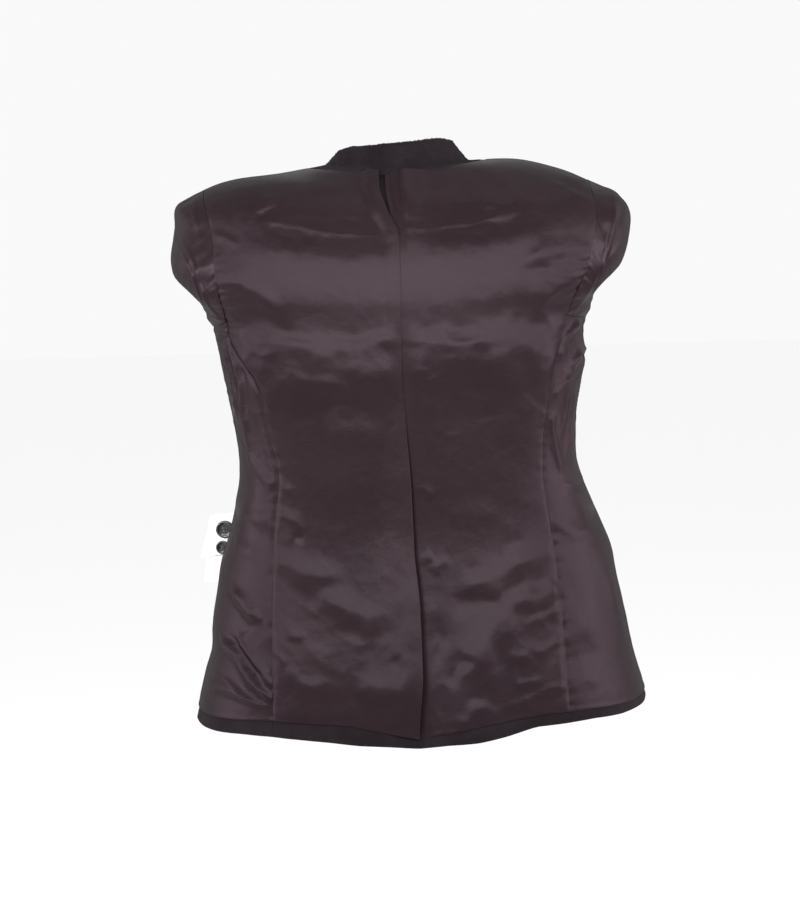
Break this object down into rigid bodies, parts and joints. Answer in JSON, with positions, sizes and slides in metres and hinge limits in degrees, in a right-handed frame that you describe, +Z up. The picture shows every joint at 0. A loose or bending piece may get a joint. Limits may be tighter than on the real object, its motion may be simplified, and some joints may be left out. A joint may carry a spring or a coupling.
{
  "type": "wool blazer",
  "caption": "Tailored wool blazer worn inside out: dark satin lining outermost, padded sleeve heads, sleeves tucked inside, open front.",
  "frame": {"origin": "middle of the neck opening at the height of the back neck seam, where the wearer's shoulders carry the blazer", "axes": "+Z up; -Y to the wearer's back, which the picture shows; -X to the wearer's left"},
  "size_m": [0.4997, 0.2442, 0.6275],
  "materials": {
    "lining_satin": "satin",
    "wool": "matte twill",
    "label_tape": "satin",
    "button_plastic": "gloss"
  },
  "bodies": {
    "root": {"care_label": "label_tape", "care_label_under": "label_tape", "collar": "wool", "facing_left": "wool", "facing_right": "wool", "front_button_low": "button_plastic", "front_button_top": "button_plastic", "lapel_left": "wool", "lapel_right": "wool", "lining_back_left": "lining_satin", "lining_back_right": "lining_satin", "lining_front_left": "lining_satin", "lining_front_right": "lining_satin", "lining_side_left": "lining_satin", "lining_side_right": "lining_satin", "sleeve_lining_left": "lining_satin", "sleeve_lining_right": "lining_satin", "spare_button_large": "button_plastic", "spare_button_small": "button_plastic", "wool_back_left": "wool", "wool_back_right": "wool", "wool_front_left": "wool", "wool_front_right": "wool", "wool_side_left": "wool", "wool_side_right": "wool", "wool_sleeve_left": "wool", "wool_sleeve_right": "wool"}
  },
  "joints": []
}
